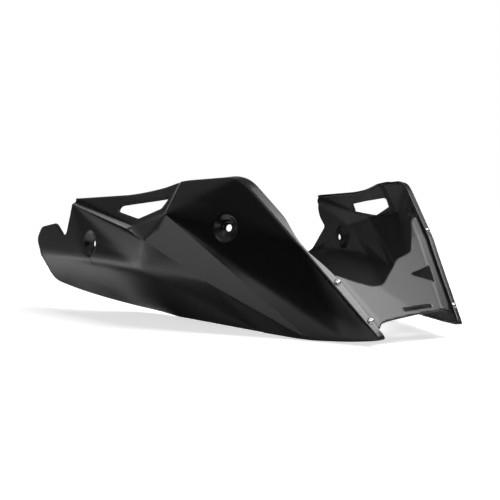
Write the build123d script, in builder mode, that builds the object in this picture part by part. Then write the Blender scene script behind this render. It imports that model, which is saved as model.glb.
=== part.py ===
from build123d import *
from math import cos, radians, sin
import os

# Belly pan of a motorcycle: two thin moulded side panels, joined at the nose by a folded plate.
# X runs forward, Y to the left and Z up, with the floor at Z = 0. Sizes are in millimetres.

# Overall sizes
tail_x = -300.5
nose_x = 299.5
half_waist = 199.0  # widest, along the keel crease
half_sole = 90.0  # bottom edges that stand on the floor
half_nose = 59.0
crown_height = 177.0
shoulder_height = 154.0
keel_height = 74.0

# Sheets and clearances
wall = 3.0
plate_thickness = 2.5
seat_gap = 0.4  # between a flange and the plate behind it
hole_clearance = 0.25  # around a screw, on the radius
thread_gap = 0.05
cut_depth = 240.0  # longer than the half width of the pan

# Turned edges of the panels
lip_width = 6.0
flange_width = 12.5
flange_angle = 18.0  # from the cross direction, leaning forward
gap_start = 92.0  # flange gap, measured down the front edge
gap_end = 119.0
gap_slant = 35.0
toe_gap = 8.0  # flange stops short of the tip
crown_radius = 16.0
tail_radius = 3.0

# Panel bosses
boss_mouth = 16.0
boss_floor = 9.5
boss_depth = 5.0
boss_hole = 4.0
boss_wall = 2.5
right_rear_boss = (-126.0, 96.5)
right_front_boss = (114.0, 121.5)
left_rear_boss = (-115.0, 97.5)
left_front_boss = (130.0, 140.5)

# Front plate
right_wing = 15.0
left_wing = 28.0
wing_inset = 3.0
slot_width = 3.4

# Screws M4 with a button head, and their nuts
screw_radius = 2.0
screw_length = 12.0
screw_inset = 6.2  # from the front edge of the panel
head_radius = 3.8
head_height = 2.2
socket_size = 2.5
socket_depth = 1.3
nut_size = 7.0
nut_height = 5.0
right_screws = (172.0, 229.0)  # down the front edge
left_screws = (96.0, 215.0)


def corner(x, half_width, z):
    # A corner of the right panel
    return Vector(x, -half_width, z)


# Corners of the outer face of the right panel
corners = {
    # top edge
    "tail_corner": corner(-174, half_waist - 3, shoulder_height),
    "top_mid": corner(-49, half_waist - 29, shoulder_height + 5.5),
    "rise": corner(-0.5, half_waist - 42.5, shoulder_height + 13),
    "crown_rear": corner(36, half_waist - 48, crown_height - 1),
    # front edge
    "crown_front": corner(120, half_nose + 63.3, crown_height),
    "nose_mid": corner(202, half_nose + 37, crown_height - 71.5),
    "tip": corner(nose_x, half_nose, 8),
    # creases between the faces
    "strip_tail": corner(-180, half_waist - 2.5, shoulder_height - 8),
    "sill_rear": corner(-18.5, half_waist - 11, shoulder_height - 33),
    "sill_front": corner(38, half_waist - 25, shoulder_height - 17.5),
    "shoulder": corner(26, half_waist - 2, shoulder_height - 48),
    "knee": corner(93, half_waist - 47.5, keel_height - 14),
    "keel_mid": corner(8, half_waist - 7, keel_height - 5.5),
    "keel_rear": corner(-139, half_waist, keel_height - 0.5),
    "keel_tail": corner(tail_x + 13.5, half_waist, keel_height + 2.5),
    # tail edge
    "tail_top": corner(tail_x, half_waist - 2, shoulder_height - 33),
    "tail_mid": corner(tail_x, half_waist - 1, shoulder_height - 56),
    "tail_low": corner(tail_x + 19, half_waist - 18, 40),
    # bottom edge
    "hem_tail": corner(-245, half_waist - 34, 29.5),
    "hem_turn": corner(-209, half_waist - 54, 20.5),
    "hem_rear": corner(-188, half_sole + 35, 13.5),
    "heel": corner(-171, half_sole + 13, 7),
    "sole_tail": corner(-130, half_sole + 3, 3.5),
    "sole_rear": corner(-85, half_sole, 0),
    "sole_mid": corner(21, half_sole, 0),
    "sole_front": corner(120, half_sole, 0),
    "sole_end": corner(186, half_sole, 0),
    "toe": corner(212, half_sole - 4, 0),
    "toe_front": corner(nose_x - 45.5, half_nose + 12, 2),
    "toe_tip": corner(nose_x - 14.5, half_nose + 3, 5.5),
}

# Where the left panel differs, before it is turned over
left_changes = {
    "tail_corner": corner(-172, half_waist - 3, shoulder_height + 4),
    "top_mid": corner(-49, half_waist - 29, shoulder_height + 8.5),
    "sill_rear": corner(-30, half_waist - 18, shoulder_height - 27),
    "shoulder": corner(-100, half_waist - 3, shoulder_height - 38),
    "knee": corner(32, half_waist - 29, keel_height - 11.5),
    "keel_mid": corner(-50, half_waist - 3, keel_height - 3),
}

# Directions of the raked front
crown_front = corners["crown_front"]
nose_mid = corners["nose_mid"]
tip = corners["tip"]
rake = tip - crown_front
front_normal = Vector(-rake.Z, 0, rake.X).normalized()
flange_lean = radians(flange_angle)
inward = Vector(0, cos(flange_lean), 0) + front_normal * sin(flange_lean)
lip_turn = Vector(0, lip_width, -lip_width / 4)

side = Vector(0, -1, 0)
up = Vector(0, 0, 1)
shared_facets = {
    # face under the top edge, with the window
    ("tail_corner", "strip_tail", "sill_rear"): side,
    ("tail_corner", "sill_rear", "top_mid"): side,
    ("top_mid", "sill_rear", "rise"): side,
    ("sill_rear", "sill_front", "rise"): side,
    ("sill_front", "crown_rear", "rise"): side,
    # narrow strip below it, and the end of the ledge
    ("strip_tail", "shoulder", "sill_rear"): side,
    ("knee", "sole_end", "toe"): side,
    # upright tail face
    ("strip_tail", "tail_top", "keel_tail"): side,
    ("tail_top", "tail_mid", "keel_tail"): side,
    ("strip_tail", "keel_tail", "keel_rear"): side,
    ("strip_tail", "keel_rear", "keel_mid"): side,
    ("strip_tail", "keel_mid", "shoulder"): side,
    ("shoulder", "keel_mid", "knee"): side,
    # belly under the keel crease
    ("keel_tail", "tail_low", "hem_tail"): side,
    ("keel_tail", "hem_tail", "keel_rear"): side,
    ("hem_tail", "hem_turn", "keel_rear"): side,
    ("hem_turn", "hem_rear", "keel_rear"): side,
    ("hem_rear", "heel", "keel_rear"): side,
    ("heel", "sole_tail", "keel_rear"): side,
    ("sole_tail", "sole_rear", "keel_rear"): side,
    ("sole_rear", "keel_mid", "keel_rear"): side,
    ("sole_rear", "sole_mid", "keel_mid"): side,
    ("sole_mid", "sole_front", "keel_mid"): side,
    ("sole_front", "knee", "keel_mid"): side,
    ("sole_front", "sole_end", "knee"): side,
    # nose face
    ("sill_front", "crown_front", "crown_rear"): side,
    ("sill_front", "nose_mid", "crown_front"): side,
    ("sill_front", "toe_front", "nose_mid"): side,
    ("sill_front", "toe", "toe_front"): side,
    ("toe_front", "toe_tip", "nose_mid"): side,
    ("toe_tip", "tip", "nose_mid"): side,
    # lip along the top edge
    ("tail_corner", "top_mid", "lip_top_mid"): up,
    ("tail_corner", "lip_top_mid", "lip_tail_corner"): up,
    ("top_mid", "rise", "lip_rise"): up,
    ("top_mid", "lip_rise", "lip_top_mid"): up,
    ("rise", "crown_rear", "lip_crown_rear"): up,
    ("rise", "lip_crown_rear", "lip_rise"): up,
    ("crown_rear", "crown_front", "flange_crown_front"): up,
    ("crown_rear", "flange_crown_front", "lip_crown_rear"): up,
    # flange along the front edge
    ("crown_front", "nose_mid", "flange_nose_mid"): front_normal,
    ("crown_front", "flange_nose_mid", "flange_crown_front"): front_normal,
    ("nose_mid", "tip", "flange_tip"): front_normal,
    ("nose_mid", "flange_tip", "flange_nose_mid"): front_normal,
}
# The ledge starts ahead of the window on the right and below it on the left
right_ledge = {
    ("sill_rear", "shoulder", "sill_front"): side,
    ("sill_front", "shoulder", "knee"): side,
    ("sill_front", "knee", "toe"): side,
}
left_ledge = {
    ("sill_rear", "shoulder", "knee"): side,
    ("sill_rear", "knee", "toe"): side,
    ("sill_rear", "toe", "sill_front"): side,
}


def facing(a, b, c):
    return (b - a).cross(c - a).normalized()


def flipped(vector, left):
    return Vector(vector.X, -vector.Y, vector.Z) if left else vector


def edged(points, left):
    # Adds the inner edges of the turned lip and of the flange
    full = dict(points)
    for name in ("tail_corner", "top_mid", "rise", "crown_rear"):
        full["lip_" + name] = points[name] + lip_turn
    for name in ("crown_front", "nose_mid", "tip"):
        full["flange_" + name] = points[name] + inward * flange_width
    return {name: flipped(point, left) for name, point in full.items()}


def triangle(a, b, c):
    return Face(Wire.make_polygon([a, b, c], close=True))


def thin_shell(points, faces, thickness):
    # A sheet of even thickness behind a faceted outer face
    turned = []
    for (a, b, c), direction in faces.items():
        outward = facing(points[a], points[b], points[c]).dot(direction) > 0
        turned.append((a, b, c) if outward else (a, c, b))
    lean = {name: Vector(0, 0, 0) for name in points}
    around = {name: [] for name in points}
    for names in turned:
        normal = facing(*[points[name] for name in names])
        for index, name in enumerate(names):
            before = points[names[index - 1]] - points[name]
            after = points[names[(index + 1) % 3]] - points[name]
            lean[name] += normal * before.get_angle(after)
            around[name].append(normal)
    behind = {}
    for name, point in points.items():
        mean = lean[name].normalized()
        reach = sum(mean.dot(normal) for normal in around[name]) / len(around[name])
        behind[name] = point - mean * (thickness / reach)
    skin = []
    edges = set()
    for a, b, c in turned:
        skin.append(triangle(points[a], points[b], points[c]))
        skin.append(triangle(behind[a], behind[c], behind[b]))
        edges.update([(a, b), (b, c), (c, a)])
    for a, b in sorted(edges):
        if (b, a) not in edges:
            skin.append(triangle(points[b], points[a], behind[a]))
            skin.append(triangle(points[b], behind[a], behind[b]))
    return Solid(Shell(skin))


def on_facet(points, names, place, left):
    # The plane of a facet, centred on the point that shows at this place from the side
    a, b, c = [points[name] for name in names]
    normal = facing(a, b, c)
    if normal.dot(flipped(side, left)) < 0:
        normal = normal * -1
    x, z = place
    y = a.Y - (normal.X * (x - a.X) + normal.Z * (z - a.Z)) / normal.Y
    return Plane(origin=(x, y, z), z_dir=normal)


def seat(distance, left):
    # Plane of a screw seat on the front face of a flange, so far down the front edge
    upper = (nose_mid - crown_front).length
    if distance < upper:
        along = (nose_mid - crown_front).normalized()
        start = crown_front + along * distance
    else:
        along = (tip - nose_mid).normalized()
        start = nose_mid + along * (distance - upper)
    normal = along.cross(inward).normalized()
    centre = start + inward * screw_inset
    return Plane(origin=flipped(centre, left), x_dir=flipped(inward, left), z_dir=flipped(normal, left))


def cut_from_side(points, radius, left):
    # Cuts a shape drawn in side view through one panel
    with BuildSketch(Plane.XZ) as drawn:
        with BuildLine():
            Polyline(*points, close=True)
        make_face()
        fillet(drawn.vertices(), radius)
    extrude(drawn.sketch, amount=-cut_depth if left else cut_depth, mode=Mode.SUBTRACT)


def sink_bosses(places):
    # Cupped bosses with a through hole
    for place in places:
        with Locations(place.location):
            Cone(
                boss_floor + boss_wall,
                boss_mouth + boss_wall,
                boss_depth + boss_wall,
                align=(Align.CENTER, Align.CENTER, Align.MAX),
            )
    for place in places:
        with Locations(place.location):
            Cone(
                boss_floor,
                boss_mouth,
                boss_depth,
                align=(Align.CENTER, Align.CENTER, Align.MAX),
                mode=Mode.SUBTRACT,
            )
            Cylinder(boss_hole, 4 * boss_depth, mode=Mode.SUBTRACT)


def notch_flange(start, end, spread, left):
    # Takes away a length of the flange, back to the wall of the panel
    middle = (start + end) / 2
    reach = (end - start) / 2
    turn = -1 if left else 1
    with BuildSketch(seat(middle, left)) as notch:
        with BuildLine():
            Polyline(
                (wall - screw_inset, -turn * reach),
                (wall - screw_inset, turn * reach),
                (2 * flange_width, turn * (reach + spread)),
                (2 * flange_width, -turn * (reach + spread)),
                close=True,
            )
        make_face()
    extrude(notch.sketch, amount=3 * wall, both=True, mode=Mode.SUBTRACT)


def round_crown(points, left):
    # Rounds the corner between the top edge and the flange, in side view
    top = points["flange_crown_front"]
    back = Vector(points["crown_rear"].X - top.X, points["crown_rear"].Z - top.Z).normalized()
    down = Vector(nose_mid.X - crown_front.X, nose_mid.Z - crown_front.Z).normalized()
    middle = (back + down).normalized()
    apex = Vector(top.X, top.Z)
    tangent = crown_radius / (middle.cross(back).length / middle.dot(back))
    centre = apex + middle * (crown_radius / middle.cross(back).length)
    away = middle * (-2 * crown_radius)
    with BuildSketch(Plane.XZ) as spare:
        with BuildLine():
            Polyline(
                apex + back * tangent,
                apex + back * tangent + away,
                apex + down * tangent + away,
                apex + down * tangent,
                close=True,
            )
        make_face()
        with Locations(centre):
            Circle(crown_radius, mode=Mode.SUBTRACT)
    extrude(spare.sketch, amount=-cut_depth if left else cut_depth, mode=Mode.SUBTRACT)


right_seats = [seat(distance, False) for distance in right_screws]
left_seats = [seat(distance, True) for distance in left_screws]
seats = right_seats + left_seats
edge_length = (nose_mid - crown_front).length + (tip - nose_mid).length

# Right panel, with the hooked tail
right_points = edged(corners, False)
right_bosses = [
    on_facet(right_points, ("strip_tail", "keel_rear", "keel_mid"), right_rear_boss, False),
    on_facet(right_points, ("sill_front", "toe_front", "nose_mid"), right_front_boss, False),
]
with BuildPart() as right_panel:
    add(thin_shell(right_points, shared_facets | right_ledge, wall))
    sink_bosses(right_bosses)
    # window under the top edge
    cut_from_side(
        [
            (-72, shoulder_height - 10.5),
            (-69, shoulder_height - 8.5),
            (24.5, shoulder_height + 1),
            (29.5, shoulder_height + 0.5),
            (27, shoulder_height - 10.5),
            (-16.5, shoulder_height - 23.5),
            (-71, shoulder_height - 15),
        ],
        0.8,
        False,
    )
    cut_from_side(
        [
            (-174, shoulder_height + 11),
            (-199.5, shoulder_height - 46.5),
            (-208, shoulder_height - 50),
            (-230, shoulder_height - 36.5),
            (-237, shoulder_height - 34),
            (-287, shoulder_height - 40),
            (tail_x - 3, shoulder_height - 58),
            (tail_x - 20, shoulder_height - 56),
            (tail_x - 20, shoulder_height + 11),
        ],
        tail_radius,
        False,
    )
    notch_flange(gap_start, gap_end, gap_slant, False)
    notch_flange(edge_length - toe_gap, edge_length + 2.5 * toe_gap, -0.75 * flange_width, False)
    round_crown(right_points, False)
    for place in right_seats:
        with Locations(place.location):
            Cylinder(screw_radius + hole_clearance, 4 * wall, mode=Mode.SUBTRACT)
right_panel.part.label = "right_panel"

# Left panel, with the tail cut back on a slant and a higher nose
left_points = edged(corners | left_changes, True)
left_bosses = [
    on_facet(left_points, ("strip_tail", "keel_rear", "keel_mid"), left_rear_boss, True),
    on_facet(left_points, ("sill_front", "nose_mid", "crown_front"), left_front_boss, True),
]
left_facets = {names: flipped(toward, True) for names, toward in (shared_facets | left_ledge).items()}
with BuildPart() as left_panel:
    add(thin_shell(left_points, left_facets, wall))
    sink_bosses(left_bosses)
    # window under the top edge
    cut_from_side(
        [
            (-72, shoulder_height - 10),
            (-69, shoulder_height - 8),
            (24.5, shoulder_height + 1),
            (29.5, shoulder_height + 0.5),
            (27, shoulder_height - 10.5),
            (-14, shoulder_height - 23),
            (-71, shoulder_height - 19),
        ],
        0.8,
        True,
    )
    cut_from_side(
        [
            (-171, shoulder_height + 11),
            (-177, shoulder_height - 16),
            (-173, shoulder_height - 29.5),
            (-160.5, shoulder_height - 42.5),
            (-202, keel_height - 4),
            (-260, -5),
            (tail_x - 20, -5),
            (tail_x - 20, shoulder_height + 11),
        ],
        tail_radius,
        True,
    )
    cut_from_side(
        [(60, 0), (150, 14), (nose_x + 20, 17), (nose_x + 20, -8), (60, -8)],
        tail_radius,
        True,
    )
    # top edge lower at the crown than on the right
    cut_from_side(
        [(40, crown_height - 0.5), (126, crown_height - 4), (160, crown_height + 20), (40, crown_height + 20)],
        tail_radius,
        True,
    )
    round_crown(left_points, True)
    for place in left_seats:
        with Locations(place.location):
            Cylinder(screw_radius + hole_clearance, 4 * wall, mode=Mode.SUBTRACT)
left_panel.part.label = "left_panel"

# Front plate: a wing behind each flange and a flat centre between the folds
upper_normal = (nose_mid - crown_front).cross(inward).normalized()
lower_normal = (tip - nose_mid).cross(inward).normalized()
plate_rows = (
    ("top", crown_front, upper_normal),
    ("mid", nose_mid, (upper_normal + lower_normal).normalized()),
    ("end", tip, lower_normal),
)
plate_corners = {}
for row, start, normal in plate_rows:
    sunk = start - normal * (wall + seat_gap)
    plate_corners[row + "_right_edge"] = sunk + inward * wing_inset
    plate_corners[row + "_right_fold"] = sunk + inward * right_wing
    plate_corners[row + "_left_fold"] = flipped(sunk + inward * left_wing, True)
    plate_corners[row + "_left_edge"] = flipped(sunk + inward * wing_inset, True)
plate_facets = {}
for above, below in (("top", "mid"), ("mid", "end")):
    for one, other in (("_right_edge", "_right_fold"), ("_right_fold", "_left_fold"), ("_left_fold", "_left_edge")):
        plate_facets[(above + one, below + one, below + other)] = front_normal
        plate_facets[(above + one, below + other, above + other)] = front_normal
front_plane = Plane(origin=(crown_front.X, 0, crown_front.Z), x_dir=(0, 1, 0), z_dir=front_normal)

with BuildPart() as front_plate:
    add(thin_shell(plate_corners, plate_facets, plate_thickness))
    with BuildSketch(front_plane) as plate_outline:
        with BuildLine():
            Polyline(
                (-100, -143),
                (-71.5, -154.5),
                (-56.5, -164),
                (-35.5, -174),
                (-27, -175.5),
                (-17, -173),
                (10, -149),
                (19.5, -139),
                (42, -130.5),
                (47, -127),
                (61, -104),
                (74, -82),
                (85, -71),
                (120, -55),
                (120, -226),
                (64, -226),
                (59, -216.5),
                (53, -214.5),
                (22, -217),
                (-2, -219),
                (-34.5, -222.5),
                (-46.5, -225),
                (-52, -232),
                (-100, -232),
                close=True,
            )
        make_face()
        with BuildLine():
            Polyline((27, -162.5), (54, -175.5), (60.5, -152), close=True)
        make_face(mode=Mode.SUBTRACT)
        with Locations((9.5, -210)):
            SlotOverall(39, slot_width, rotation=3, mode=Mode.SUBTRACT)
    extrude(amount=cut_depth / 3, both=True, mode=Mode.INTERSECT)
    for place in seats:
        with Locations(place.location):
            Cylinder(screw_radius + hole_clearance, 8 * wall, mode=Mode.SUBTRACT)
front_plate.part.label = "front_plate"

# Screws through flange and plate, heads in front
with BuildPart() as screw:
    with BuildSketch(Plane.XZ) as screw_half:
        with BuildLine():
            Polyline(
                (0, head_height),
                (0, -screw_length),
                (screw_radius, -screw_length),
                (screw_radius, 0),
                (head_radius, 0),
                (head_radius, head_height / 4),
            )
            ThreePointArc(
                (head_radius, head_height / 4),
                (0.72 * head_radius, 0.78 * head_height),
                (socket_size / 2, head_height),
            )
            Line((socket_size / 2, head_height), (0, head_height))
        make_face()
    revolve(axis=Axis.Z)
    with BuildSketch(Plane.XY.offset(head_height)) as socket:
        RegularPolygon(socket_size / 2, 6, major_radius=False)
    extrude(amount=-socket_depth, mode=Mode.SUBTRACT)

with BuildPart() as joint_screws:
    for place in seats:
        with Locations(place.location):
            add(screw.part)
joint_screws.part.label = "joint_screws"

# Nuts behind the plate
nut_face = -(wall + seat_gap + plate_thickness + thread_gap)
with BuildPart() as nut:
    with BuildSketch(Plane.XY.offset(nut_face)) as nut_outline:
        RegularPolygon(nut_size / 2, 6, major_radius=False)
        Circle(screw_radius + thread_gap, mode=Mode.SUBTRACT)
    extrude(amount=-nut_height)

with BuildPart() as joint_nuts:
    for place in seats:
        with Locations(place.location):
            add(nut.part)
joint_nuts.part.label = "joint_nuts"

os.makedirs("parts", exist_ok=True)
export_step(right_panel.part, "parts/right_panel.step")
export_step(left_panel.part, "parts/left_panel.step")
export_step(front_plate.part, "parts/front_plate.step")
export_step(joint_screws.part, "parts/joint_screws.step")
export_step(joint_nuts.part, "parts/joint_nuts.step")
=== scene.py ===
import math

import bpy
import numpy as np
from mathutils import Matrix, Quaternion, Vector
from mathutils.geometry import delaunay_2d_cdt


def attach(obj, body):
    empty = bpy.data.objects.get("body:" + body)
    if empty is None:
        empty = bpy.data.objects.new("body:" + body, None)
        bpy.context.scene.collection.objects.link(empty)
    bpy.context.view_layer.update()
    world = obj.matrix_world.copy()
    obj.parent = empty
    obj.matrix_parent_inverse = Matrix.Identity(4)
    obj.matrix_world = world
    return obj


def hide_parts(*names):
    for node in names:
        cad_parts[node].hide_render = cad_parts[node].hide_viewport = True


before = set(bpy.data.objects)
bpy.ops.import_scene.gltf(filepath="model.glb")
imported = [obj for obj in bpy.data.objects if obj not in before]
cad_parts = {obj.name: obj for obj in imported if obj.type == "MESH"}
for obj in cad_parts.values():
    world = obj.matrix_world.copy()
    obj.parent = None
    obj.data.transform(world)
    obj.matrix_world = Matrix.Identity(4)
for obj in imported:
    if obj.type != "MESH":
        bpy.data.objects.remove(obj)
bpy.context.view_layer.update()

scene = bpy.context.scene
scene.view_settings.view_transform = "Standard"
print("frame loaded:", len(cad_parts), "nodes")

# Shapes are worked out in millimetres, x forward, y to the left, z up, and go into their meshes in metres
metre = 0.001
tiny = 1e-12  # added before a length is divided out, so that none is zero
chunks = 16  # long arrays are worked through in parts, to spare memory


def smoothStep(t):  # 3 t^2 - 2 t^3 between 0 and 1, flat outside
    t = np.clip(t, 0, 1)
    return t * t * (3 - 2 * t)


def unit(v):
    return v / np.linalg.norm(v, axis=-1, keepdims=True)


def bend(start, corner, end, t):  # (1-t)^2 A + 2t(1-t) P + t^2 B, from A to B round the corner P
    return (1 - t) ** 2 * start + 2 * t * (1 - t) * corner + t ** 2 * end


# Line with soft corners, each bent between two points one cut away along its sides
longestCut = 0.48  # of the shorter side
bendSteps = 9


def softCorners(points, cuts, closed=False):
    p = np.asarray(points, float)
    cut = np.array(np.broadcast_to(cuts, len(p)), float)
    toBack, toNext = np.roll(p, 1, 0) - p, np.roll(p, -1, 0) - p
    backLength, nextLength = np.linalg.norm(toBack, axis=1), np.linalg.norm(toNext, axis=1)
    cut = np.minimum(cut, longestCut * np.minimum(backLength, nextLength))
    if not closed:
        cut[[0, -1]] = 0
    start = (p + toBack * (cut / backLength)[:, None])[:, None]
    end = (p + toNext * (cut / nextLength)[:, None])[:, None]
    t = np.linspace(0, 1, bendSteps)[None, :, None]
    line = bend(start, p[:, None], end, t).reshape(-1, p.shape[1])
    return np.concatenate([line, line[:1]]) if closed else line


def lengthAlong(line):
    return np.concatenate([[0], np.cumsum(np.linalg.norm(np.diff(line, axis=0), axis=1))])


def evenSteps(line, step):
    run = lengthAlong(line)
    at = np.linspace(0, run[-1], max(2, round(run[-1] / step) + 1))
    return np.stack([np.interp(at, run, line[:, k]) for k in range(line.shape[1])], 1)


def softLoop(points, cut, step):
    return evenSteps(softCorners(points, cut, closed=True), step)[:-1]


# Depth over a flat plane: the facet that holds a spot gives d0 + v (d1 - d0) + w (d2 - d0), v and w being its
# barycentric weights there; past the last facet its plane is carried on a little
facetReach = 30


def facetDepth(spots, corners, facets):
    best = np.full(len(spots), -np.inf)
    depth = np.zeros(len(spots))
    for a, b, c in corners[facets]:
        low = np.minimum(np.minimum(a, b), c)[:2] - facetReach
        high = np.maximum(np.maximum(a, b), c)[:2] + facetReach
        near = np.flatnonzero(((spots > low) & (spots < high)).all(1))
        ab, ac, gap = b[:2] - a[:2], c[:2] - a[:2], spots[near] - a[:2]
        area = ab[0] * ac[1] - ab[1] * ac[0]
        v = (gap[:, 0] * ac[1] - gap[:, 1] * ac[0]) / area
        w = (ab[0] * gap[:, 1] - ab[1] * gap[:, 0]) / area
        hold = np.minimum(np.minimum(v, w), 1 - v - w)
        better = hold > best[near]
        near, v, w = near[better], v[better], w[better]
        best[near] = hold[better]
        depth[near] = a[2] + v * (b[2] - a[2]) + w * (c[2] - a[2])
    return depth


# Soft creases: the mean depth under a bell exp(-r^2 / 2) around each spot, r counted in that spot's softness
bellRings = [(0.0, 1, 0.16), (0.6, 8, 0.33), (1.2, 8, 0.34), (1.9, 8, 0.17)]  # r, spots, weight


def softDepth(spots, corners, facets, softness):
    depth = np.zeros(len(spots))
    for reach, count, weight in bellRings:
        for turn in np.arange(count) * 2 * math.pi / count + reach:
            shift = np.stack([np.cos(turn) * reach * softness, np.sin(turn) * reach * softness], 1)
            depth += weight / count * facetDepth(spots + shift, corners, facets)
    return depth


# Distance from spots to the piece of line between p and q
def lineGap(spots, p, q):
    t = np.clip((spots - p) @ (q - p) / ((q - p) @ (q - p)), 0, 1)
    return np.linalg.norm(spots - p - t[:, None] * (q - p), axis=1)


def nearestGap(spots, others):
    gaps = [((part[:, None] - others) ** 2).sum(2).min(1) for part in np.array_split(spots, chunks)]
    return np.sqrt(np.concatenate(gaps))


# Even-odd rule: a spot is inside where a ray from it crosses the loop an odd number of times
levelRise = 1e-9  # stands in for the rise of a level side


def insideLoop(spots, loop):
    a, b = loop, np.roll(loop, -1, 0)
    rise = np.where(b[:, 1] == a[:, 1], levelRise, b[:, 1] - a[:, 1])
    found = []
    for part in np.array_split(spots, chunks):
        x, z = part[:, :1], part[:, 1:]
        crossed = (a[:, 1] > z) != (b[:, 1] > z)
        ahead = x < a[:, 0] + (z - a[:, 1]) * (b[:, 0] - a[:, 0]) / rise
        found.append((crossed & ahead).sum(1) % 2 == 1)
    return np.concatenate(found)


# Flat net over a trimmed grid: loops and lines stay as edges, and hexagonal grid points fill the outline outside
# the clear loops
rowHeight, rimRoom = 0.866, 0.62  # in steps of the grid
weldGap, leastArea = 1e-5, 1e-6


def flatNet(outline, holes, rings, lines, clear, step):
    loops = [outline, *holes, *rings, *lines]
    firsts = np.cumsum([0] + [len(loop) for loop in loops[:-1]])
    orders = [first + np.arange(len(loop)) for first, loop in zip(firsts, loops)]
    edges = [np.stack([order, np.roll(order, -1)], 1) for order in orders]
    for k in range(len(loops) - len(lines), len(loops)):
        edges[k] = edges[k][:-1]  # a line stays open
    rim = np.concatenate(loops)
    low, high = outline.min(0), outline.max(0)
    u, v = np.meshgrid(np.arange(low[0], high[0], step), np.arange(low[1], high[1], step * rowHeight))
    u[1::2] += step / 2
    fill = np.stack([u.ravel(), v.ravel()], 1)
    fill = fill[insideLoop(fill, outline)]
    for loop in [*holes, *clear]:
        fill = fill[~insideLoop(fill, loop)]
    fill = fill[nearestGap(fill, rim) > rimRoom * step]
    given = np.concatenate([rim, fill])
    net = delaunay_2d_cdt(given.tolist(), np.concatenate(edges).tolist(), [], 0, weldGap)
    spots, tris = np.array(net[0], float), np.array(net[2])
    kept = np.array([first[0] if first else -1 for first in net[3]])
    spots[kept >= 0] = given[kept[kept >= 0]]  # the net's own numbers are coarser
    middle = spots[tris].mean(1)
    keep = insideLoop(middle, outline)
    for loop in holes:
        keep &= ~insideLoop(middle, loop)
    tris = tris[keep]
    a, b, c = spots[tris[:, 0]], spots[tris[:, 1]], spots[tris[:, 2]]
    area = (b[:, 0] - a[:, 0]) * (c[:, 1] - a[:, 1]) - (b[:, 1] - a[:, 1]) * (c[:, 0] - a[:, 0])
    tris = tris[np.abs(area) > leastArea]
    turned = area[np.abs(area) > leastArea] < 0
    tris[turned] = tris[turned][:, ::-1]
    return spots, tris


# Triangles of a strip whose points lie in rows of one length: point (i, k) joins (i+1, k) and (i, k+1)
def stripTris(rows, columns):
    k, i = np.meshgrid(np.arange(rows - 1), np.arange(columns - 1), indexing="ij")
    a = (k * columns + i).ravel()
    return np.concatenate([np.stack([a, a + 1, a + columns + 1], 1), np.stack([a, a + columns + 1, a + columns], 1)])


# One sheet out of several nets: points that fall together become one
weldDigits = 3


def joinNets(nets):
    points = np.concatenate([p for p, t in nets])
    firsts = np.cumsum([0] + [len(p) for p, t in nets[:-1]])
    tris = np.concatenate([t + first for (p, t), first in zip(nets, firsts)])
    rounded = np.round(points, weldDigits)
    kept, where = np.unique(rounded, axis=0, return_index=True, return_inverse=True)[1:]
    tris = where.reshape(-1)[tris]
    whole = (tris[:, 0] != tris[:, 1]) & (tris[:, 1] != tris[:, 2]) & (tris[:, 2] != tris[:, 0])
    return points[kept], tris[whole]


# Normal at a point: the mean of its triangles' normals, weighted by their angles there
def pointNormals(points, tris):
    a, b, c = points[tris[:, 0]], points[tris[:, 1]], points[tris[:, 2]]
    normal = unit(np.cross(b - a, c - a) + tiny)
    total = np.zeros_like(points)
    for k, (p, q, r) in enumerate(((a, b, c), (b, c, a), (c, a, b))):
        angle = np.arccos(np.clip((unit(q - p + tiny) * unit(r - p + tiny)).sum(1), -1, 1))
        np.add.at(total, tris[:, k], normal * angle[:, None])
    return unit(total + tiny)


# Wall with a round rim: the back lies at P - t N, and each border point gets the half ellipse
# P + m b sin(f) - N t (1 - cos(f)) / 2, f from 0 to pi, m pointing out of the sheet and b the bulge
rimRows = 6


def thicken(points, tris, wall, bulge):
    count = len(points)
    normal = pointNormals(points, tris)
    sides = np.concatenate([tris[:, [0, 1]], tris[:, [1, 2]], tris[:, [2, 0]]])
    border = sides[~np.isin(sides[:, 0] * count + sides[:, 1], sides[:, 1] * count + sides[:, 0])]
    along = unit(points[border[:, 1]] - points[border[:, 0]])
    outward = np.zeros_like(points)
    for end in (0, 1):
        np.add.at(outward, border[:, end], np.cross(along, normal[border[:, end]]))
    rim = np.unique(border)
    outward = unit(outward[rim] + tiny)
    outer = points.copy()
    outer[rim] -= outward * bulge
    turn = np.linspace(0, math.pi, rimRows + 1)[1:-1][:, None, None]
    rimPoints = outer[rim] + outward * bulge * np.sin(turn) - normal[rim] * wall * (1 - np.cos(turn)) / 2
    place = np.zeros(count, int)
    place[rim] = np.arange(len(rim))
    between = [2 * count + k * len(rim) + place[border] for k in range(rimRows - 1)]
    levels = [border, *between, border + count]
    skin = [tris, tris[:, ::-1] + count]
    for near, far in zip(levels[:-1], levels[1:]):
        skin.append(np.stack([near[:, 1], near[:, 0], far[:, 0]], 1))
        skin.append(np.stack([near[:, 1], far[:, 0], far[:, 1]], 1))
    inside = np.concatenate([np.zeros(count), np.ones(count), np.zeros(rimPoints[..., 0].size)])
    return np.concatenate([outer, outer - normal * wall, rimPoints.reshape(-1, 3)]), np.concatenate(skin), inside


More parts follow.
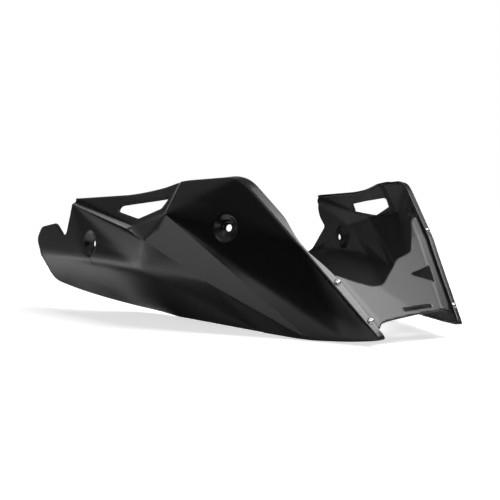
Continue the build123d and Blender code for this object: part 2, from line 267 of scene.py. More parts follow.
def putMesh(name, points, tris, inside, material, sharp=None):
    mesh = bpy.data.meshes.new(name)
    mesh.vertices.add(len(points))
    mesh.vertices.foreach_set("co", (points * metre).astype(np.float32).ravel())
    mesh.loops.add(tris.size)
    mesh.loops.foreach_set("vertex_index", tris.astype(np.int32).ravel())
    mesh.polygons.add(len(tris))
    mesh.polygons.foreach_set("loop_start", np.arange(0, tris.size, 3, dtype=np.int32))
    mesh.polygons.foreach_set("loop_total", np.full(len(tris), 3, np.int32))
    mesh.update(calc_edges=True)
    mesh.validate()
    mesh.attributes.new("inside", "FLOAT", "POINT").data.foreach_set("value", inside.astype(np.float32))
    mesh.shade_smooth()
    if sharp is not None:  # an edge is sharp where both its ends are
        ends = np.empty(2 * len(mesh.edges), np.int32)
        mesh.edges.foreach_get("vertices", ends)
        both = sharp[ends].reshape(-1, 2).all(1)
        mesh.attributes.new("sharp_edge", "BOOLEAN", "EDGE").data.foreach_set("value", both)
    mesh.materials.append(material)
    piece = bpy.data.objects.new(name, mesh)
    scene.collection.objects.link(piece)
    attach(piece, "root")
    print(name, "made:", len(tris), "triangles")
    return piece


# Nodes: a socket takes a link or a plain value
def feed(tree, socket, value):
    if isinstance(value, bpy.types.NodeSocket):
        tree.links.new(value, socket)
    else:
        socket.default_value = value


def addNode(tree, kind, inputs, **settings):
    node = tree.nodes.new(kind)
    for name, value in settings.items():
        setattr(node, name, value)
    for label, value in inputs.items():
        feed(tree, node.inputs[label], value)
    return node


def mathNode(tree, operation, a, b):
    return addNode(tree, "ShaderNodeMath", {0: a, 1: b}, operation=operation).outputs[0]


def dotNode(tree, vector, way):
    return addNode(tree, "ShaderNodeVectorMath", {0: vector, 1: way}, operation="DOT_PRODUCT").outputs["Value"]


def mapNode(tree, value, limits, low, high, curve="SMOOTHSTEP"):
    inputs = {"Value": value, "From Min": limits[0], "From Max": limits[1], "To Min": low, "To Max": high}
    return addNode(tree, "ShaderNodeMapRange", inputs, interpolation_type=curve).outputs["Result"]


# Colour mix: its socket 0 takes the share, 6 and 7 take the colours, and output 2 gives the result
def mixNode(tree, share, first, second):
    inputs = {0: share, 6: (*first, 1), 7: (*second, 1)}
    return addNode(tree, "ShaderNodeMix", inputs, data_type="RGBA").outputs[2]


def newMaterial(name):
    material = bpy.data.materials.new(name)
    material.use_nodes = True
    return material, material.node_tree, material.node_tree.nodes["Principled BSDF"]


# Shared effects, with their values as inputs beside a vector
def newGroup(name, values, results):
    group = bpy.data.node_groups.new(name, "ShaderNodeTree")
    group.interface.new_socket("Vector", in_out="INPUT", socket_type="NodeSocketVector")
    for label, value in values.items():
        group.interface.new_socket(label, in_out="INPUT", socket_type="NodeSocketFloat").default_value = value
    for label in results:
        group.interface.new_socket(label, in_out="OUTPUT", socket_type="NodeSocketFloat")
    return group, group.nodes.new("NodeGroupInput").outputs, group.nodes.new("NodeGroupOutput").inputs


noiseMean = 0.5


# Moulded grain: small cells over a finer noise, as height, with the noise as a small change of gloss
grainSetup = {"fineScale": 2.2, "fineDetail": 3.0, "fineHeight": 0.5}


def makeGrain(setup):
    group, into, out = newGroup("mouldedGrain", {"Scale": 900.0, "Gloss Change": 0.05}, ("Height", "Gloss"))
    cells = addNode(group, "ShaderNodeTexVoronoi", {"Vector": into["Vector"], "Scale": into["Scale"]},
                    feature="SMOOTH_F1").outputs["Distance"]
    fineScale = mathNode(group, "MULTIPLY", into["Scale"], setup["fineScale"])
    fine = addNode(group, "ShaderNodeTexNoise", {"Vector": into["Vector"], "Scale": fineScale,
                                                 "Detail": setup["fineDetail"]}).outputs["Fac"]
    feed(group, out["Height"], mathNode(group, "ADD", cells, mathNode(group, "MULTIPLY", fine, setup["fineHeight"])))
    centred = mathNode(group, "SUBTRACT", fine, noiseMean)
    feed(group, out["Gloss"], mathNode(group, "MULTIPLY", centred, into["Gloss Change"]))
    return group


# Handling marks: wide soft patches that change the gloss a little, and a sparse light dust
handlingSetup = {"patchScale": 9.0, "patchDetail": 4.0, "speckScale": 260.0, "speckDetail": 2.0, "specks": (0.66, 0.74)}


def makeHandling(setup):
    group, into, out = newGroup("handlingMarks", {"Gloss Change": 0.06, "Dust": 0.02}, ("Gloss", "Dust"))
    patches, specks = [
        addNode(group, "ShaderNodeTexNoise", {"Vector": into["Vector"], "Scale": setup[kind + "Scale"],
                                              "Detail": setup[kind + "Detail"]}).outputs["Fac"]
        for kind in ("patch", "speck")
    ]
    centred = mathNode(group, "SUBTRACT", patches, noiseMean)
    feed(group, out["Gloss"], mathNode(group, "MULTIPLY", centred, into["Gloss Change"]))
    sparse = mapNode(group, specks, setup["specks"], 0, 1, "LINEAR")
    feed(group, out["Dust"], mathNode(group, "MULTIPLY", sparse, into["Dust"]))
    return group


grainGroup, handlingGroup = makeGrain(grainSetup), makeHandling(handlingSetup)


# Plastic and steel: gloss = finish + grain + handling marks, colour = finish mixed with a little dust
def makeFinish(name, finish):
    material, tree, shader = newMaterial(name)
    shader.inputs["Metallic"].default_value = finish["metallic"]
    shader.inputs["IOR"].default_value = finish["ior"]
    place = tree.nodes.new("ShaderNodeTexCoord").outputs["Object"]
    grain = addNode(tree, "ShaderNodeGroup", {}, node_tree=grainGroup)
    marks = addNode(tree, "ShaderNodeGroup", {}, node_tree=handlingGroup)
    for node, values in ((grain, finish["grain"]), (marks, finish["marks"])):
        feed(tree, node.inputs["Vector"], place)
        for label, value in values.items():
            feed(tree, node.inputs[label], value)
    gloss = finish["roughness"]
    if "insideRoughness" in finish:
        inside = addNode(tree, "ShaderNodeAttribute", {}, attribute_name="inside").outputs["Fac"]
        matt = mathNode(tree, "MULTIPLY", inside, finish["insideRoughness"] - finish["roughness"])
        gloss = mathNode(tree, "ADD", matt, gloss)
    change = mathNode(tree, "ADD", grain.outputs["Gloss"], marks.outputs["Gloss"])
    feed(tree, shader.inputs["Roughness"], mathNode(tree, "ADD", change, gloss))
    colour = mixNode(tree, marks.outputs["Dust"], finish["colour"], finish["dustColour"])
    feed(tree, shader.inputs["Base Color"], colour)
    bump = addNode(tree, "ShaderNodeBump", {"Strength": finish["bump"], "Distance": finish["bumpHeight"],
                                            "Height": grain.outputs["Height"]})
    feed(tree, shader.inputs["Normal"], bump.outputs["Normal"])
    return material


# Black satin plastic, more matt on the inside
panelFinish = {
    "colour": (0.0035, 0.0035, 0.0039),
    "dustColour": (0.2, 0.2, 0.2),
    "metallic": 0.0,
    "ior": 1.5,
    "roughness": 0.25,
    "insideRoughness": 0.45,
    "grain": {"Scale": 1400.0, "Gloss Change": 0.06},
    "marks": {"Gloss Change": 0.05, "Dust": 0.02},
    "bump": 0.05,
    "bumpHeight": 0.0002,
}
plateFinish = dict(
    panelFinish,
    colour=(0.01, 0.01, 0.0105),
    roughness=0.34,
    insideRoughness=0.6,
    grain={"Scale": 1100.0, "Gloss Change": 0.06},
)

# Steel: finer grain with a stronger change of gloss, bright on the screws and blackened on the nuts
screwFinish = {
    "colour": (0.64, 0.64, 0.63),
    "dustColour": (0.384, 0.384, 0.378),
    "metallic": 1.0,
    "ior": 1.5,
    "roughness": 0.26,
    "grain": {"Scale": 2500.0, "Gloss Change": 0.2},
    "marks": {"Gloss Change": 0.1, "Dust": 0.3},
    "bump": 0.1,
    "bumpHeight": 0.0001,
}
nutFinish = dict(screwFinish, colour=(0.06, 0.06, 0.06), dustColour=(0.036, 0.036, 0.036), roughness=0.4)

panelPlastic = makeFinish("panelPlastic", panelFinish)
platePlastic = makeFinish("platePlastic", plateFinish)
for nodeName, steelName, finish in (("joint_screws", "screwSteel", screwFinish), ("joint_nuts", "nutSteel", nutFinish)):
    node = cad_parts[nodeName]
    node.data.materials.clear()
    node.data.materials.append(makeFinish(steelName, finish))
print("materials made")

# Corners of a side panel in side view: x, z and the half width there
panelCorners = {
    "topMid": (-49, 159.5, 170), "rise": (-0.5, 167, 156.5), "crownRear": (36, 176, 151),
    "crownFront": (120, 177, 122.3), "noseMid": (202, 105.5, 96), "tip": (299.5, 8, 59),
    "stripTail": (-180, 146, 196.5), "stripTop": (-178.5, 149.4, 193.8), "sillRear": (-18.5, 121, 188),
    "sillFront": (38, 136.5, 174), "pocketLow": (32.5, 138, 171.2), "pocketTop": (30.5, 174, 149.8),
    "shoulder": (26, 106, 197), "knee": (99, 60.5, 155),
    "keelMid": (8, 68.5, 192), "keelRear": (-139, 73.5, 199), "keelTail": (-287, 76.5, 199),
    "tailTop": (-300.5, 121, 197), "tailMid": (-300.5, 98, 198), "tailLow": (-281.5, 40, 181),
    "hemTail": (-245, 29.5, 165), "hemTurn": (-209, 20.5, 145), "hemRear": (-188, 13.5, 125), "heel": (-171, 7, 103),
    "soleTail": (-130, 3.5, 93), "soleRear": (-85, 0, 90), "soleMid": (21, 0, 90), "soleFront": (120, 0, 90),
    "soleEnd": (186, 0, 90), "toe": (212, 0, 86), "toeFront": (254, 2, 71), "toeTip": (285, 5.5, 62),
}
panelFacets = [
    # pocket with the window, and the bevels round it
    "tailCorner stripTop sillRear", "tailCorner sillRear topMid", "topMid sillRear rise",
    "sillRear pocketLow rise", "pocketLow pocketTop rise", "tailCorner stripTail stripTop",
    "stripTail sillRear stripTop", "pocketLow sillFront crownRear", "pocketLow crownRear pocketTop",
    "pocketTop crownRear rise",
    # tail
    "stripTail tailTop keelTail", "tailTop tailMid keelTail", "stripTail keelTail keelRear",
    "stripTail keelRear keelMid", "stripTail keelMid shoulder", "shoulder keelMid knee",
    # belly ahead of its loft
    "soleRear soleMid keelMid", "soleMid soleFront keelMid", "soleFront knee keelMid",
    "soleFront soleEnd knee", "knee soleEnd toe",
    # nose
    "sillFront crownFront crownRear", "sillFront noseMid crownFront", "sillFront toeFront noseMid",
    "sillFront toe toeFront", "toeFront toeTip noseMid", "toeTip tip noseMid",
]

# Belly behind: a loft from the keel, in straight lines, to the hem as a soft line
bellyKeel = ["keelTail", "keelRear", "keelMid"]
bellyHem = ["tailLow", "hemTail", "hemTurn", "hemRear", "heel", "soleTail", "soleRear"]
bellyColumns = 26

# Creases carry their softness, edges and tails have a cut for each corner, and flange widths go by the way
# from the crown
rightPanel = {
    "name": "rightPanel", "node": "right_panel", "side": -1,
    "wall": 3.0, "rim": 0.6, "step": 2.3, "softness": 14.0,
    "corners": dict(
        panelCorners, tailCorner=(-183, 154, 190.5), stripTop=(-181, 148, 191.2), stripEnd=(-16.5, 117.8, 196.3),
        crownFront=(120, 180, 122.3),
    ),
    "facets": panelFacets + [
        "stripTail stripEnd sillRear", "stripTail shoulder stripEnd", "stripEnd shoulder sillRear",
        "sillRear shoulder sillFront", "sillRear sillFront pocketLow", "sillFront shoulder knee",
        "sillFront knee toe",
    ],
    "creases": [
        ("stripTail", "stripEnd", 0.05), ("stripEnd", "shoulder", 0.05), ("stripTop", "sillRear", 0.05),
        ("sillRear", "sillFront", 1.5), ("sillRear", "pocketLow", 1.5), ("pocketLow", "pocketTop", 1.4),
        ("sillFront", "crownRear", 1.5), ("pocketTop", "rise", 1.8), ("sillRear", "shoulder", 0.9),
        ("shoulder", "knee", 0.05), ("knee", "toe", 0.05), ("sillFront", "toe", 0.05),
        ("keelTail", "keelRear", 5.0), ("keelRear", "keelMid", 7.0), ("keelMid", "knee", 6.0),
    ],
    "edge": ["tailCorner", "topMid", "rise", "crownRear", "crownFront", "noseMid", "tip",
             "toeTip", "toeFront", "toe", "soleFront"],
    "edgeCuts": [0, 30, 22, 16, 20, 12, 5, 14, 20, 20, 0],
    "crownSpan": (36, 120),
    "tail": [(-182.6, 145.4), (-199.5, 107.5), (-208, 104), (-230, 117.5), (-237, 120), (-287, 114),
             (-300.5, 99.3), (-300, 92), "keelTail", *bellyHem],
    "tailCuts": [3, 6, 6, 6, 5, 7, 8, 8, 12, 12, 18, 16, 10, 10, 20, 20],
    "sole": [],
    "fillets": [0.9, 2.2, 2.2, 1.4, 1.2, 3.6, 3.6, 0.15],
    "lip": 6.0, "toe": 8.0, "hem": 6.5, "hemEnd": 0.5,
    "flange": [(0, 10.2), (70, 10.0), (85, 6.6), (99, 3.8), (108, 3.3), (124, 3.3), (136, 6.2), (150, 8.4),
               (166, 9.6), (300, 9.6)],
    "window": [(-68.5, 143.6), (-65.5, 145.6), (19, 154.5), (23.5, 154), (20, 143), (-16.5, 130.5), (-67, 138.5)],
    "bosses": [((-126, 96.5), "stripTail keelRear keelMid"), ((114, 121.5), "sillFront toeFront noseMid")],
}
leftPanel = dict(
    rightPanel, name="leftPanel", node="left_panel", side=1,
    corners=dict(
        panelCorners, tailCorner=(-172, 158, 196), topMid=(-49, 162.5, 170), sillRear=(-30, 127, 181),
        shoulder=(-100, 116, 196), knee=(32, 62.5, 170), keelMid=(-50, 71, 196), crownFront=(121, 174, 122.5),
    ),
    facets=panelFacets + [
        "stripTail shoulder sillRear", "sillRear shoulder knee", "sillRear knee toe",
        "sillRear toe sillFront", "sillRear sillFront pocketLow",
    ],
    creases=[
        ("stripTail", "shoulder", 1.8), ("stripTail", "sillRear", 1.4), ("stripTop", "sillRear", 1.4),
        ("sillRear", "sillFront", 1.5), ("sillRear", "pocketLow", 1.5), ("pocketLow", "pocketTop", 1.4),
        ("sillFront", "crownRear", 1.5), ("pocketTop", "rise", 1.8), ("sillRear", "shoulder", 2.0),
        ("shoulder", "knee", 2.0), ("knee", "toe", 2.4), ("sillRear", "toe", 2.0),
        ("keelRear", "keelMid", 5.0), ("keelMid", "knee", 4.0),
    ],
    edge=["tailCorner", "topMid", "rise", "crownRear", "crownFront", "noseMid", (291.1, 16.4), (220, 15.1), (150, 14)],
    edgeCuts=[0, 30, 22, 16, 20, 12, 5, 20, 0],
    tail=[(-175.5, 145), (-177, 138), (-173, 124.5), (-160.5, 111.5), (-202, 70), (-235.6, 26.5), *bellyHem[2:]],
    tailCuts=[4, 6, 6, 4, 10, 3, 10, 10, 10, 20, 20],
    sole=[(60, 0)],
    hem=5.0,
    flange=[(0, 12.0), (300, 12.0)],
    window=[(-72, 144), (-69, 146), (24.5, 155), (29.5, 154.5), (27, 143.5), (-14, 131), (-71, 135)],
    bosses=[((-115, 97.5), "stripTail keelRear keelMid"), ((130, 140.5), "sillFront noseMid crownFront")],
)

# Depth of a cupped boss by its radius: a cone down to a flat floor, and a low step round the hole
bossRadii = np.array([4.0, 5.4, 6.3, 6.9, 7.6, 8.9, 9.7, 10.5, 12.0, 13.6, 14.9, 15.7, 16.5, 17.4, 19.0])
bossDepths = np.array([6.3, 6.3, 6.2, 5.6, 5.05, 5.0, 4.75, 4.15, 3.0, 1.75, 0.8, 0.35, 0.1, 0.0, 0.0])
bossSides = 72

# Steps along the lines of a panel, and the cuts of those that have one for all corners
lineSteps = {"edge": 1.5, "outline": 1.7, "window": 1.3, "crease": 1.8, "belly": 2.0}
lineCuts = {"sole": 25, "window": 1.3, "belly": 25}

# Softness at a distance: from the edge on it grows, and from a crease once some of its own softness away
edgeSoftness = {"start": 1.2, "growth": 0.45}
creaseSoftness = {"reach": 2.5, "growth": 0.35, "room": 1.6}
sharpLimit, onCrease = 0.1, 0.02  # creases below this softness are shaded as sharp edges

# Ways along the edge over which its rounding and its width change
edgeRuns = {"tail": 5, "crown": 10, "hemRound": 24, "flangeStop": 14, "hemTurn": 20, "hemStart": 30, "hemFade": 80}
roundRows, flatRows, leastFlat = 6, 5, 0.3
widthMean = 9  # steps that the width is averaged over

# Lip, flange and hem: the lip falls inward, the flange leans out of the plane of the nose
lipFall = -0.25
flangeLean = math.radians(18)
noseRake = np.array([0.6855, 0, 0.728])


def makePanel(panel, material):
    side, names = panel["side"], list(panel["corners"])
    corners = np.array(list(panel["corners"].values()), float)
    facets = np.array([[names.index(n) for n in words.split()] for words in panel["facets"]])
    cornerOf = dict(zip(names, corners))
    creases = [(cornerOf[p][:2], cornerOf[q][:2], crisp) for p, q, crisp in panel["creases"]]

    def placed(line):  # corners by name, or spots as they are
        return [cornerOf[spot][:2] if isinstance(spot, str) else spot for spot in line]

    keel = evenSteps(np.array([cornerOf[n] for n in bellyKeel]), lineSteps["belly"])
    hem = evenSteps(softCorners([cornerOf[n] for n in bellyHem], lineCuts["belly"]), lineSteps["belly"])
    loft = [line[np.linspace(0, len(line) - 1, bellyColumns).round().astype(int)] for line in (keel, hem)]
    facets = np.concatenate([facets, stripTris(2, bellyColumns) + len(corners)])
    corners = np.concatenate([corners, *loft])

    # half width at each spot, crisp along the edge and the creases and soft away from them
    def halfWidth(spots):
        soft = edgeSoftness["start"] + edgeSoftness["growth"] * nearestGap(spots, outline[::2])
        soft = np.minimum(panel["softness"], soft)
        for p, q, crisp in creases:
            away = np.maximum(lineGap(spots, p, q) - creaseSoftness["reach"] * crisp, 0)
            soft = np.minimum(soft, crisp + creaseSoftness["growth"] * away)
        return softDepth(spots, corners, facets, soft)

    def lift(spots):
        return np.stack([spots[:, 0], side * halfWidth(spots), spots[:, 1]], 1)

    # one edge from the tail corner over the crown, down the nose to the tip and back under it as the hem
    edge = evenSteps(softCorners(placed(panel["edge"]), panel["edgeCuts"]), lineSteps["edge"])
    run = lengthAlong(edge)
    ahead = unit(np.gradient(edge, axis=0))
    within = np.stack([ahead[:, 1], -ahead[:, 0]], 1)
    tip = np.argmax(edge[:, 0])
    rearCrown, crown = np.interp(panel["crownSpan"], edge[:tip, 0], run[:tip])
    fade = run[-1] - edgeRuns["hemFade"]
    filletAt = [0, edgeRuns["tail"], rearCrown, crown + edgeRuns["crown"],
                run[tip], run[tip] + edgeRuns["hemRound"], fade, run[-1]]
    fillet = np.interp(run, filletAt, panel["fillets"])
    inset = edge + within * fillet[:, None]

    tailLine = placed(panel["tail"])
    tail = evenSteps(softCorners([inset[0], *tailLine], [0, *panel["tailCuts"]]), lineSteps["outline"])
    sole = softCorners([tailLine[-1], *panel["sole"], inset[-1]], lineCuts["sole"])
    sole = evenSteps(sole, lineSteps["outline"])
    outline = np.concatenate([tail[:-1], sole[:-1], inset[::-1][:-1]])

    # rings of the bosses, laid on the plane of their facet
    holes = [softLoop(panel["window"], lineCuts["window"], lineSteps["window"])]
    rings, lastRings, bossPlanes = [], [], []
    turn = np.arange(bossSides) * 2 * math.pi / bossSides
    for spot, words in panel["bosses"]:
        a, b, c = [(cornerOf[n] * (1, 1, side))[[0, 2, 1]] for n in words.split()]
        normal = unit(np.cross(b - a, c - a))
        normal *= side * np.sign(normal[1])
        centre = np.array([spot[0], 0, spot[1]])
        centre[1] = a[1] - (normal[0] * (centre[0] - a[0]) + normal[2] * (centre[2] - a[2])) / normal[1]
        across = unit(np.cross([0, 0, 1.0], normal))
        upward = np.cross(normal, across)
        bossPlanes.append((centre, normal))
        circle = np.cos(turn)[:, None] * across + np.sin(turn)[:, None] * upward
        flat = [(centre + r * circle)[:, [0, 2]] for r in bossRadii]
        holes.append(flat[0])
        rings += flat[1:]
        lastRings.append(flat[-1])

    lines = []
    for p, q, crisp in creases:
        line = evenSteps(np.array([p, q]), lineSteps["crease"])[1:-1]
        line = line[insideLoop(line, outline)]
        lines.append(line[nearestGap(line, outline) > creaseSoftness["room"]])
    spots, tris = flatNet(outline, holes, rings, lines, lastRings, panel["step"])
    face = lift(spots)
    for centre, normal in bossPlanes:
        gap = face - centre
        radius = np.linalg.norm(gap - (gap @ normal)[:, None] * normal, axis=1)
        face -= np.interp(radius, bossRadii, bossDepths)[:, None] * normal

    # lip, flange and hem: bent round the edge, then straight inward
    edgePoints, insetPoints = lift(edge), lift(inset)
    lipWay = unit(np.array([0, -side * 1.0, lipFall]))
    flangeWay = np.array([0, -side * math.cos(flangeLean), 0]) + noseRake * math.sin(flangeLean)
    hemWay = np.array([0, -side * 1.0, 0])
    toFront = np.clip((run - rearCrown) / (crown - rearCrown), 0, 1)[:, None]
    toHem = smoothStep((run - run[tip] + edgeRuns["hemTurn"] / 2) / edgeRuns["hemTurn"])[:, None]
    inward = unit((lipWay * (1 - toFront) + flangeWay * toFront) * (1 - toHem) + hemWay * toHem)
    flange = [(crown + a, w) for a, w in panel["flange"] if crown + a < run[tip] - edgeRuns["flangeStop"]]
    widths = [(0, panel["lip"]), (rearCrown, panel["lip"]), *flange, (run[tip], panel["toe"]),
              (run[tip] + edgeRuns["hemStart"], panel["hem"]), (fade, panel["hem"]), (run[-1], panel["hemEnd"])]
    width = np.pad(np.interp(run, *np.transpose(widths)), widthMean // 2, "edge")
    width = np.convolve(width, np.full(widthMean, 1 / widthMean), "valid")
    width = np.maximum(width, fillet + leastFlat)
    start = edgePoints + inward * fillet[:, None]
    rows = [bend(insetPoints, edgePoints, start, t) for t in np.linspace(0, 1, roundRows)]
    for t in np.linspace(0, 1, flatRows)[1:]:
        rows.append(edgePoints + inward * (fillet + (width - fillet) * t)[:, None])

    nets = [(face, tris), (np.concatenate(rows), stripTris(len(rows), len(edge)))]
    if side > 0:
        nets = [(p, t[:, ::-1]) for p, t in nets]
    points, skin, inside = thicken(*joinNets(nets), panel["wall"], panel["rim"])
    sharp = np.zeros(len(points), bool)
    for p, q, crisp in creases:
        if crisp < sharpLimit:
            sharp |= (lineGap(points[:, [0, 2]], p, q) < onCrease) & (inside == 0)
    piece = putMesh(panel["name"], points, skin, inside, material, sharp)
    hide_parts(panel["node"])


makePanel(rightPanel, panelPlastic)
makePanel(leftPanel, panelPlastic)

# Front plate in the raked plane of the nose: a runs to the left, b up the rake, from the crown's height
frontPlate = {
    "wall": 2.5, "rim": 0.5, "step": 2.2, "softness": 2.2,
    "sunk": 3.4, "inset": 3.0, "rightWing": 15.0, "leftWing": 28.0,
    "top": [(-100, -143), (-71.5, -154.5), (-56.5, -164), (-35.5, -174), (-27, -175.5), (-17, -173), (10, -149),
            (19.5, -139), (42, -130.5), (47, -127), (61, -104), (74, -82), (85, -71), (120, -55)],
    "topCuts": [0, 10, 10, 6, 4, 6, 8, 6, 4, 4, 12, 12, 8, 0],
    "bottom": [(-100, -232), (-52, -232), (-46.5, -225), (-34.5, -222.5), (-2, -219), (22, -217), (53, -214.5),
               (59, -216.5), (64, -226), (120, -226)],
    "bottomCuts": [0, 3, 5, 8, 12, 12, 4, 4, 3, 0],
    "edgeStep": 1.6, "leftSteps": 70, "rightSteps": 45,
    "window": [(27, -162.5), (54, -175.5), (60.5, -152)], "windowCut": 2.0,
    "slot": {"spot": (9.5, -210), "length": 39.0, "width": 3.4, "turn": math.radians(3.0), "endSteps": 9},
    "holeStep": 1.2,
}


# Slot with round ends, turned in its plane
def slotLoop(slot, step):
    radius, half = slot["width"] / 2, (slot["length"] - slot["width"]) / 2
    t = np.linspace(0, math.pi, slot["endSteps"])
    end = np.stack([half + np.sin(t) * radius, -np.cos(t) * radius], 1)
    loop = np.concatenate([end, -end])
    c, s = math.cos(slot["turn"]), math.sin(slot["turn"])
    loop = loop @ np.array([[c, s], [-s, c]]) + slot["spot"]
    return evenSteps(np.concatenate([loop, loop[:1]]), step)[:-1]


def makePlate(plate, material):
    nose = np.array([panelCorners[n] for n in ("crownFront", "noseMid", "tip")], float)
    crown, middle, tip = nose[:, [0, 2, 1]] * (1, -1, 1)
    rake = unit(np.array([-(tip - crown)[2], 0, (tip - crown)[0]]))
    upAxis = np.cross(rake, [0, 1.0, 0])
    origin = np.array([crown[0], 0, crown[2]])
    inward = np.array([0, math.cos(flangeLean), 0]) + rake * math.sin(flangeLean)
    upper, lower = unit(np.cross(middle - crown, inward)), unit(np.cross(tip - middle, inward))
    mirror = np.array([1, -1, 1])

    # folded sheet: a wing behind each flange, and the middle between them
    columns = []
    for start, normal in ((crown, upper), (middle, unit(upper + lower)), (tip, lower)):
        sunk = start - normal * plate["sunk"]
        columns.append([sunk + inward * plate["inset"], sunk + inward * plate["rightWing"],
                        (sunk + inward * plate["leftWing"]) * mirror, (sunk + inward * plate["inset"]) * mirror])
    grid = np.array(columns).reshape(-1, 3) - origin
    corners = np.stack([grid[:, 1], grid @ upAxis, grid @ rake], 1)
    facets = stripTris(3, 4)

    # outline: both long lines, cut off at the two side edges
    lowFirst = corners.reshape(3, 4, 3)[::-1]

    def rightEdge(b):
        return np.interp(b, lowFirst[:, 0, 1], lowFirst[:, 0, 0])

    def leftEdge(b):
        return np.interp(b, lowFirst[:, 3, 1], lowFirst[:, 3, 0])

    ends = []
    for name in ("top", "bottom"):
        line = evenSteps(softCorners(plate[name], plate[name + "Cuts"]), plate["edgeStep"])
        a, b = line.T
        ends.append(line[(a > rightEdge(b)) & (a < leftEdge(b))])
    top, bottom = ends
    rise = np.linspace(bottom[-1, 1], top[-1, 1], plate["leftSteps"])[1:-1]
    fall = np.linspace(top[0, 1], bottom[0, 1], plate["rightSteps"])[1:-1]
    left, right = np.stack([leftEdge(rise), rise], 1), np.stack([rightEdge(fall), fall], 1)
    outline = np.concatenate([bottom, left, top[::-1], right])

    window = softLoop(plate["window"], plate["windowCut"], plate["holeStep"])
    slot = slotLoop(plate["slot"], plate["holeStep"])
    spots, tris = flatNet(outline, [window, slot], [], [], [], plate["step"])
    depth = softDepth(spots, corners, facets, np.full(len(spots), plate["softness"]))
    points = origin + np.outer(spots[:, 0], [0, 1.0, 0]) + np.outer(spots[:, 1], upAxis) + np.outer(depth, rake)
    piece = putMesh("frontPlate", *thicken(points, tris, plate["wall"], plate["rim"]), material)
    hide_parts("front_plate")


makePlate(frontPlate, platePlastic)

# Camera, as the photograph was taken
camera = {"place": (1.2854, -0.8279, 0.1640), "target": (-0.0546, 0, 0.0859), "lens": 86.4, "sensor": 36.0}


def aimAt(place, target):
    return (Vector(target) - Vector(place)).to_track_quat("-Z", "Y")


def makeCamera(view):
    data = bpy.data.cameras.new("camera")
    data.lens, data.sensor_width = view["lens"], view["sensor"]
    item = bpy.data.objects.new("camera", data)
    item.location = view["place"]
    item.rotation_euler = aimAt(view["place"], view["target"]).to_euler()
    scene.collection.objects.link(item)
    scene.camera = item


makeCamera(camera)

# Studio: soft boxes, dark flags that only reflections see, a white floor, and a surround that is white behind
# the object; levels go over from the first to the second of two values, which are metres or cosines
studio = {
    "behind": {"way": (-0.985, 0.17, 0.02), "edge": (0.88, 0.97)},
    "surround": {"ambient": 0.1, "dim": 0.03, "ceiling": 0.32, "ceilingEdge": (0.3, 0.62)},
    "floor": {
        "size": 14.0, "colour": (0.8, 0.8, 0.8), "gloss": 0.1,
        "glow": 0.66, "whiteFrom": (0.5, 1.4), "behindFrom": (0.5, 1.2),
        "card": 0.55, "cardSide": (0.19, 0.28), "cardRear": (-0.65, -0.3),
        # the last four: painted shade, a darker floor under the rear of the pan that only reflections see, and the
        # bounds where it runs
        "under": 0.55, "underRear": (-0.34, -0.16), "underFront": (-0.1, 0.02), "underSide": (0.13, 0.2),
    },
    "boxes": [
        {"name": "overhead", "place": (0.78, 0.36, 1.65), "target": (0.15, 0, 0.1),
         "size": (1.4, 0.6), "turn": -20, "power": 30.0},
        {"name": "leftSide", "place": (0.05, 2.1, 1.5), "target": (0.2, 0, 0.1),
         "size": (0.9, 0.6), "turn": 0, "power": 8.0},
        {"name": "frontKey", "place": (0.55, -1.45, 1.05), "target": (0.08, -0.16, 0.08),
         "size": (0.8, 0.5), "turn": 0, "power": 2.2},
        {"name": "rearWall", "place": (-1.0, -1.75, 0.32), "target": (-0.1, -0.2, 0.1),
         "size": (1.0, 0.6), "turn": 0, "power": 1.8},
        {"name": "rearTop", "place": (-1.5, 0.38, 1.28), "target": (-0.1, -0.19, 0.14),
         "size": (0.5, 0.5), "turn": 0, "power": 1.2},
    ],
    "flagColour": (0.01, 0.01, 0.01),
    "flags": {
        "sideFlag": [(-0.38, -0.66, 0), (0.62, -0.66, 0), (0.62, -0.66, 0.24), (-0.38, -0.66, 0.24)],
        "floorFlag": [(-0.05, -0.66, 0.002), (0.62, -0.66, 0.002), (0.62, -0.32, 0.002), (-0.05, -0.32, 0.002)],
        "noseFlag": [(0.1, -0.33, 0.002), (0.62, -0.33, 0.002), (0.62, -0.1, 0.002), (0.25, -0.12, 0.002)],
        "backFlag": [(-0.5, 0.7, 0), (-0.5, 0.04, 0), (-0.5, 0.04, 0.45), (-0.5, 0.7, 0.45)],
    },
    "boardRoughness": 0.9,
}


# Rays from the camera, and those that gloss, metal and glass pass on
def seenRays(tree):
    path = tree.nodes.new("ShaderNodeLightPath").outputs
    return path["Is Camera Ray"], mathNode(tree, "MAXIMUM", path["Is Glossy Ray"], path["Is Transmission Ray"])


def makeBoard(name, corners, colour, gloss):
    mesh = bpy.data.meshes.new(name)
    mesh.from_pydata(corners, [], [(0, 1, 2, 3)])
    board = bpy.data.objects.new(name, mesh)
    scene.collection.objects.link(board)
    paint, tree, shader = newMaterial(name + "Paint")
    shader.inputs["Base Color"].default_value = (*colour, 1)
    shader.inputs["Roughness"].default_value = studio["boardRoughness"]
    shader.inputs["Specular IOR Level"].default_value = gloss
    mesh.materials.append(paint)
    return board, tree, shader


def makeBox(box):
    lamp = bpy.data.lights.new(box["name"], "AREA")
    lamp.shape, lamp.size, lamp.size_y = "RECTANGLE", *box["size"]
    lamp.energy = box["power"]
    item = bpy.data.objects.new(box["name"], lamp)
    item.location = box["place"]
    turn = Quaternion((0, 0, 1), math.radians(box["turn"]))
    item.rotation_euler = (aimAt(box["place"], box["target"]) @ turn).to_euler()
    scene.collection.objects.link(item)


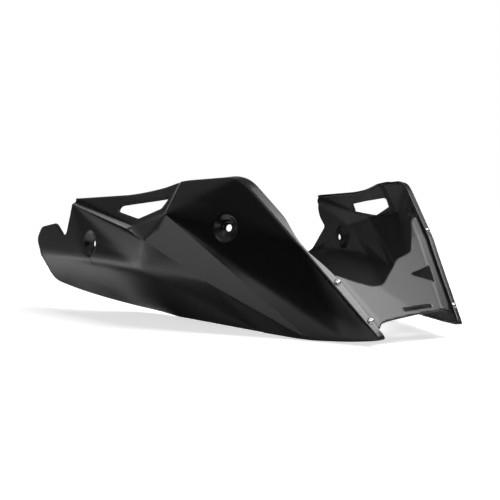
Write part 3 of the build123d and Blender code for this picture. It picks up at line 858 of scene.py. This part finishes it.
# Floor: painted white, with a white of its own for the camera that grows with the distance, so that no horizon shows
def makeFloor(floor, behind):
    half = floor["size"] / 2
    corners = [(-half, -half, 0), (half, -half, 0), (half, half, 0), (-half, half, 0)]
    tree, shader = makeBoard("floor", corners, floor["colour"], floor["gloss"])[1:]
    place = tree.nodes.new("ShaderNodeTexCoord").outputs["Object"]
    cameraRay, passed = seenRays(tree)
    forward, right = dotNode(tree, place, (1, 0, 0)), dotNode(tree, place, (0, -1, 0))
    away = addNode(tree, "ShaderNodeVectorMath", {0: place}, operation="LENGTH").outputs["Value"]
    toward = addNode(tree, "ShaderNodeVectorMath", {0: place}, operation="NORMALIZE").outputs["Vector"]

    # passed rays see that white behind the object, and beside its right panel as on a card
    sector = mapNode(tree, dotNode(tree, toward, behind["way"]), behind["edge"], 0, 1)
    sector = mathNode(tree, "MULTIPLY", sector, mapNode(tree, away, floor["behindFrom"], 0, 1))
    card = mapNode(tree, right, floor["cardSide"], 0, floor["card"] / floor["glow"])
    card = mathNode(tree, "MULTIPLY", card, mapNode(tree, forward, floor["cardRear"], 0, 1))
    passedGlow = mathNode(tree, "MULTIPLY", passed, mathNode(tree, "MAXIMUM", sector, card))
    seen = mathNode(tree, "MAXIMUM", cameraRay, passedGlow)
    far = mapNode(tree, away, floor["whiteFrom"], 0, 1 - floor["glow"])
    glow = mathNode(tree, "MULTIPLY", seen, mathNode(tree, "ADD", far, floor["glow"]))
    shader.inputs["Emission Color"].default_value = (1, 1, 1, 1)
    feed(tree, shader.inputs["Emission Strength"], glow)

    # and painted shade under the rear of the pan: for passed rays the floor's colour goes darker there, in place of the
    # pan's shadow that its reflections see
    under = mapNode(tree, forward, floor["underRear"], 0, floor["under"])
    under = mathNode(tree, "MULTIPLY", under, mapNode(tree, forward, floor["underFront"], 1, 0))
    under = mathNode(tree, "MULTIPLY", under, mapNode(tree, right, floor["underSide"], 1, 0))
    under = mathNode(tree, "MULTIPLY", under, passed)
    feed(tree, shader.inputs["Base Color"], mixNode(tree, under, floor["colour"], (0, 0, 0)))


# Surround: white to the camera; for passed rays white behind the object and paler towards the ceiling
def makeSurround(surround, behind):
    world = bpy.data.worlds.new("surround")
    scene.world = world
    world.use_nodes = True
    tree = world.node_tree
    toward = tree.nodes.new("ShaderNodeTexCoord").outputs["Generated"]
    cameraRay, passed = seenRays(tree)
    sector = mapNode(tree, dotNode(tree, toward, behind["way"]), behind["edge"], 0, 1)
    height = dotNode(tree, toward, (0, 0, 1))
    ceiling = mapNode(tree, height, surround["ceilingEdge"], surround["dim"], surround["ceiling"])
    passedLevel = mathNode(tree, "MULTIPLY", passed, mathNode(tree, "MAXIMUM", sector, ceiling))
    others = mathNode(tree, "SUBTRACT", 1.0, mathNode(tree, "MAXIMUM", cameraRay, passed))
    rest = mathNode(tree, "MULTIPLY", others, surround["ambient"])
    level = mathNode(tree, "ADD", mathNode(tree, "ADD", cameraRay, passedLevel), rest)
    feed(tree, tree.nodes["Background"].inputs["Strength"], level)
    tree.nodes["Background"].inputs["Color"].default_value = (1, 1, 1, 1)


for box in studio["boxes"]:
    makeBox(box)
makeFloor(studio["floor"], studio["behind"])
for name, corners in studio["flags"].items():
    flag = makeBoard(name, corners, studio["flagColour"], 0)[0]
    flag.visible_camera = flag.visible_shadow = flag.visible_diffuse = False
makeSurround(studio["surround"], studio["behind"])
print("studio made")
